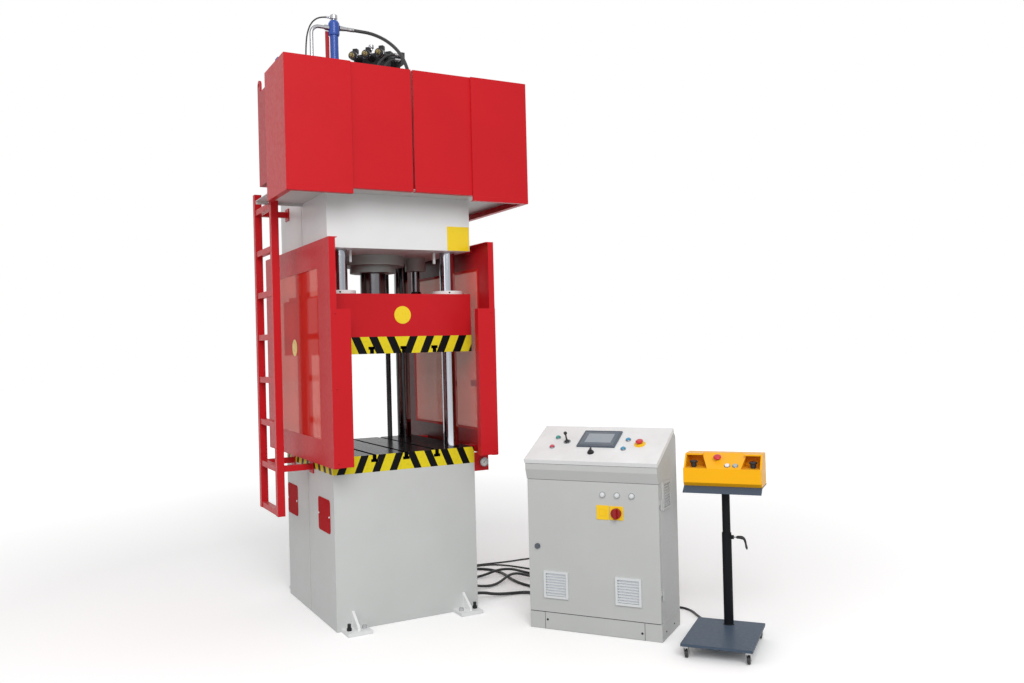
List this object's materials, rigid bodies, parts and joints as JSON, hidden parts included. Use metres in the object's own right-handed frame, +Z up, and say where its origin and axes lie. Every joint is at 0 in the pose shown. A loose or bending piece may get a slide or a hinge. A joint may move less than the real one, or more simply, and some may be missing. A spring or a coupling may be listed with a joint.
{
  "type": "hydraulic press",
  "caption": "Four-column hydraulic press with ladder, side guards and a hydraulic unit on top, with its control cabinet and rolling two-hand stand.",
  "frame": {"origin": "on the floor under the middle of the press base", "axes": "+X to the right of someone facing the press, +Y away from them, +Z up"},
  "size_m": [2.0374, 2.6137, 3.279],
  "materials": {
    "base_grey": "satin",
    "crown_white": "satin",
    "hatch_white": "satin",
    "machine_red": "satin",
    "table_stripe": "satin",
    "chrome": "polished",
    "steel": "brushed",
    "black_steel": "satin",
    "tinted": "clear",
    "valve_dark": "matt",
    "motor_dark": "matt",
    "filter_blue": "gloss",
    "fitting": "bright",
    "hose": "matt",
    "cable": "satin",
    "cabinet_grey": "satin",
    "lid_light": "satin",
    "vent_grey": "matt",
    "switch_red": "gloss",
    "lock_metal": "polished",
    "screen_dark": "gloss",
    "green": "gloss",
    "red": "gloss",
    "blue": "gloss",
    "black_plastic": "matt",
    "stand_blue_grey": "satin",
    "console_yellow": "gloss",
    "wheel_black": "matt",
    "primer_grey": "satin",
    "gauge_red": "satin"
  },
  "bodies": {
    "press": {"base_frame": "base_grey", "hatch_covers": "machine_red", "foot_brackets": "hatch_white", "frame_fasteners": "black_steel", "table_plate": "table_stripe", "crown_frame": "crown_white", "columns": "chrome", "main_cylinder": "primer_grey", "side_cylinders": "primer_grey", "guard_sheets": "machine_red", "guard_windows": "tinted", "curtain_covers": "machine_red", "light_curtains": "console_yellow", "ladder": "machine_red", "skirt_corners": "machine_red", "skirt_panels": "machine_red", "skirt_deck": "base_grey", "oil_tank": "machine_red", "pump_motor": "motor_dark", "valve_block": "valve_dark", "oil_filter": "filter_blue", "filter_fittings": "fitting", "pressure_gauge": "gauge_red", "pressure_hose": "hose", "machine_hoses": "hose", "cabinet_body": "cabinet_grey", "stand_base": "stand_blue_grey", "floor_cables": "cable", "stand_cable": "cable"},
    "slide": {"slide_plate": "table_stripe", "slide_body": "machine_red", "guide_bushes": "crown_white", "ram_rods": "chrome"},
    "cabinet_door": {"cabinet_door": "cabinet_grey", "door_fittings": "vent_grey"},
    "main_switch": {"main_switch": "switch_red"},
    "door_lock": {"door_lock": "lock_metal"},
    "desk_lid": {"desk_lid": "lid_light", "touchscreen": "screen_dark"},
    "green_button": {"green_button": "green"},
    "red_button": {"red_button": "red"},
    "blue_button_one": {"blue_button_one": "blue"},
    "blue_button_two": {"blue_button_two": "blue"},
    "desk_stop_button": {"desk_stop_button": "red"},
    "joystick": {"joystick": "black_plastic"},
    "key_switch": {"key_switch": "black_plastic"},
    "stand_post": {"stand_post": "stand_blue_grey", "console_shell": "console_yellow"},
    "clamp_lever": {"clamp_lever": "black_plastic"},
    "palm_button_left": {"palm_button_left": "black_plastic"},
    "palm_button_right": {"palm_button_right": "black_plastic"},
    "console_stop_button": {"console_stop_button": "red"},
    "caster_fork_1": {"caster_fork_1": "steel"},
    "caster_wheel_1": {"caster_wheel_1": "wheel_black"},
    "caster_fork_2": {"caster_fork_2": "steel"},
    "caster_wheel_2": {"caster_wheel_2": "wheel_black"},
    "caster_fork_3": {"caster_fork_3": "steel"},
    "caster_wheel_3": {"caster_wheel_3": "wheel_black"},
    "caster_fork_4": {"caster_fork_4": "steel"},
    "caster_wheel_4": {"caster_wheel_4": "wheel_black"}
  },
  "joints": [
    {"name": "slide_travel", "type": "slide", "parent": "press", "child": "slide", "axis": [0, 0, 1], "range_m": [-0.45, 0.08]},
    {"name": "door_hinge", "type": "hinge", "parent": "press", "child": "cabinet_door", "pos_m": [0.90636, -1.47898, 0.4], "axis": [0, 0, 1], "range_deg": [0, 110]},
    {"name": "main_switch_turn", "type": "hinge", "parent": "cabinet_door", "child": "main_switch", "pos_m": [0.76064, -1.31085, 0.616], "axis": [0.8141, 0.5807, 0], "range_deg": [0, 90]},
    {"name": "door_lock_turn", "type": "hinge", "parent": "cabinet_door", "child": "door_lock", "pos_m": [0.5092, -0.95833, 0.424], "axis": [-0.8141, -0.5807, 0], "range_deg": [0, 90]},
    {"name": "lid_hinge", "type": "hinge", "parent": "press", "child": "desk_lid", "pos_m": [0.91713, -1.03463, 0.99599], "axis": [-0.5807, 0.8141, 0], "range_deg": [0, 50]},
    {"name": "green_button_press", "type": "slide", "parent": "desk_lid", "child": "green_button", "axis": [-0.3457, -0.2466, 0.9054], "range_m": [-0.004, 0], "stiffness_N_per_m": 800},
    {"name": "red_button_press", "type": "slide", "parent": "desk_lid", "child": "red_button", "axis": [-0.3457, -0.2466, 0.9054], "range_m": [-0.004, 0], "stiffness_N_per_m": 800},
    {"name": "blue_button_one_press", "type": "slide", "parent": "desk_lid", "child": "blue_button_one", "axis": [-0.3457, -0.2466, 0.9054], "range_m": [-0.004, 0], "stiffness_N_per_m": 800},
    {"name": "blue_button_two_press", "type": "slide", "parent": "desk_lid", "child": "blue_button_two", "axis": [-0.3457, -0.2466, 0.9054], "range_m": [-0.004, 0], "stiffness_N_per_m": 800},
    {"name": "desk_stop_press", "type": "slide", "parent": "desk_lid", "child": "desk_stop_button", "axis": [-0.3457, -0.2466, 0.9054], "range_m": [-0.004, 0]},
    {"name": "joystick_tilt", "type": "hinge", "parent": "desk_lid", "child": "joystick", "pos_m": [0.68884, -0.98251, 0.94621], "axis": [0.5807, -0.8141, 0], "range_deg": [-20, 20], "stiffness_Nm_per_rad": 0.3},
    {"name": "key_switch_turn", "type": "hinge", "parent": "desk_lid", "child": "key_switch", "pos_m": [0.71165, -1.16645, 0.90592], "axis": [-0.3457, -0.2466, 0.9054], "range_deg": [-45, 45]},
    {"name": "post_height", "type": "slide", "parent": "press", "child": "stand_post", "axis": [0, 0, 1], "range_m": [-0.2, 0.12]},
    {"name": "clamp_lever_turn", "type": "hinge", "parent": "press", "child": "clamp_lever", "pos_m": [1.21128, -1.64115, 0.5], "axis": [0.6198, -0.7848, 0], "range_deg": [-60, 60]},
    {"name": "palm_button_left_press", "type": "slide", "parent": "stand_post", "child": "palm_button_left", "axis": [0, 0, 1], "range_m": [-0.004, 0], "stiffness_N_per_m": 1500},
    {"name": "palm_button_right_press", "type": "slide", "parent": "stand_post", "child": "palm_button_right", "axis": [0, 0, 1], "range_m": [-0.004, 0], "stiffness_N_per_m": 1500},
    {"name": "console_stop_press", "type": "slide", "parent": "stand_post", "child": "console_stop_button", "axis": [-0.4131, -0.3262, 0.8503], "range_m": [-0.004, 0]},
    {"name": "caster_swivel_1", "type": "hinge", "parent": "press", "child": "caster_fork_1", "pos_m": [0.84694, -1.71227, 0.04], "axis": [0, 0, 1], "continuous": true},
    {"name": "caster_roll_1", "type": "hinge", "parent": "caster_fork_1", "child": "caster_wheel_1", "pos_m": [0.85793, -1.70359, 0.02], "axis": [0.6198, -0.7848, 0], "continuous": true},
    {"name": "caster_swivel_2", "type": "hinge", "parent": "press", "child": "caster_fork_2", "pos_m": [1.14594, -1.47613, 0.04], "axis": [0, 0, 1], "continuous": true},
    {"name": "caster_roll_2", "type": "hinge", "parent": "caster_fork_2", "child": "caster_wheel_2", "pos_m": [1.15693, -1.46745, 0.02], "axis": [0.6198, -0.7848, 0], "continuous": true},
    {"name": "caster_swivel_3", "type": "hinge", "parent": "press", "child": "caster_fork_3", "pos_m": [1.0211, -1.93279, 0.04], "axis": [0, 0, 1], "continuous": true},
    {"name": "caster_roll_3", "type": "hinge", "parent": "caster_fork_3", "child": "caster_wheel_3", "pos_m": [1.03209, -1.92411, 0.02], "axis": [0.6198, -0.7848, 0], "continuous": true},
    {"name": "caster_swivel_4", "type": "hinge", "parent": "press", "child": "caster_fork_4", "pos_m": [1.3201, -1.69665, 0.04], "axis": [0, 0, 1], "continuous": true},
    {"name": "caster_roll_4", "type": "hinge", "parent": "caster_fork_4", "child": "caster_wheel_4", "pos_m": [1.33109, -1.68798, 0.02], "axis": [0.6198, -0.7848, 0], "continuous": true}
  ]
}
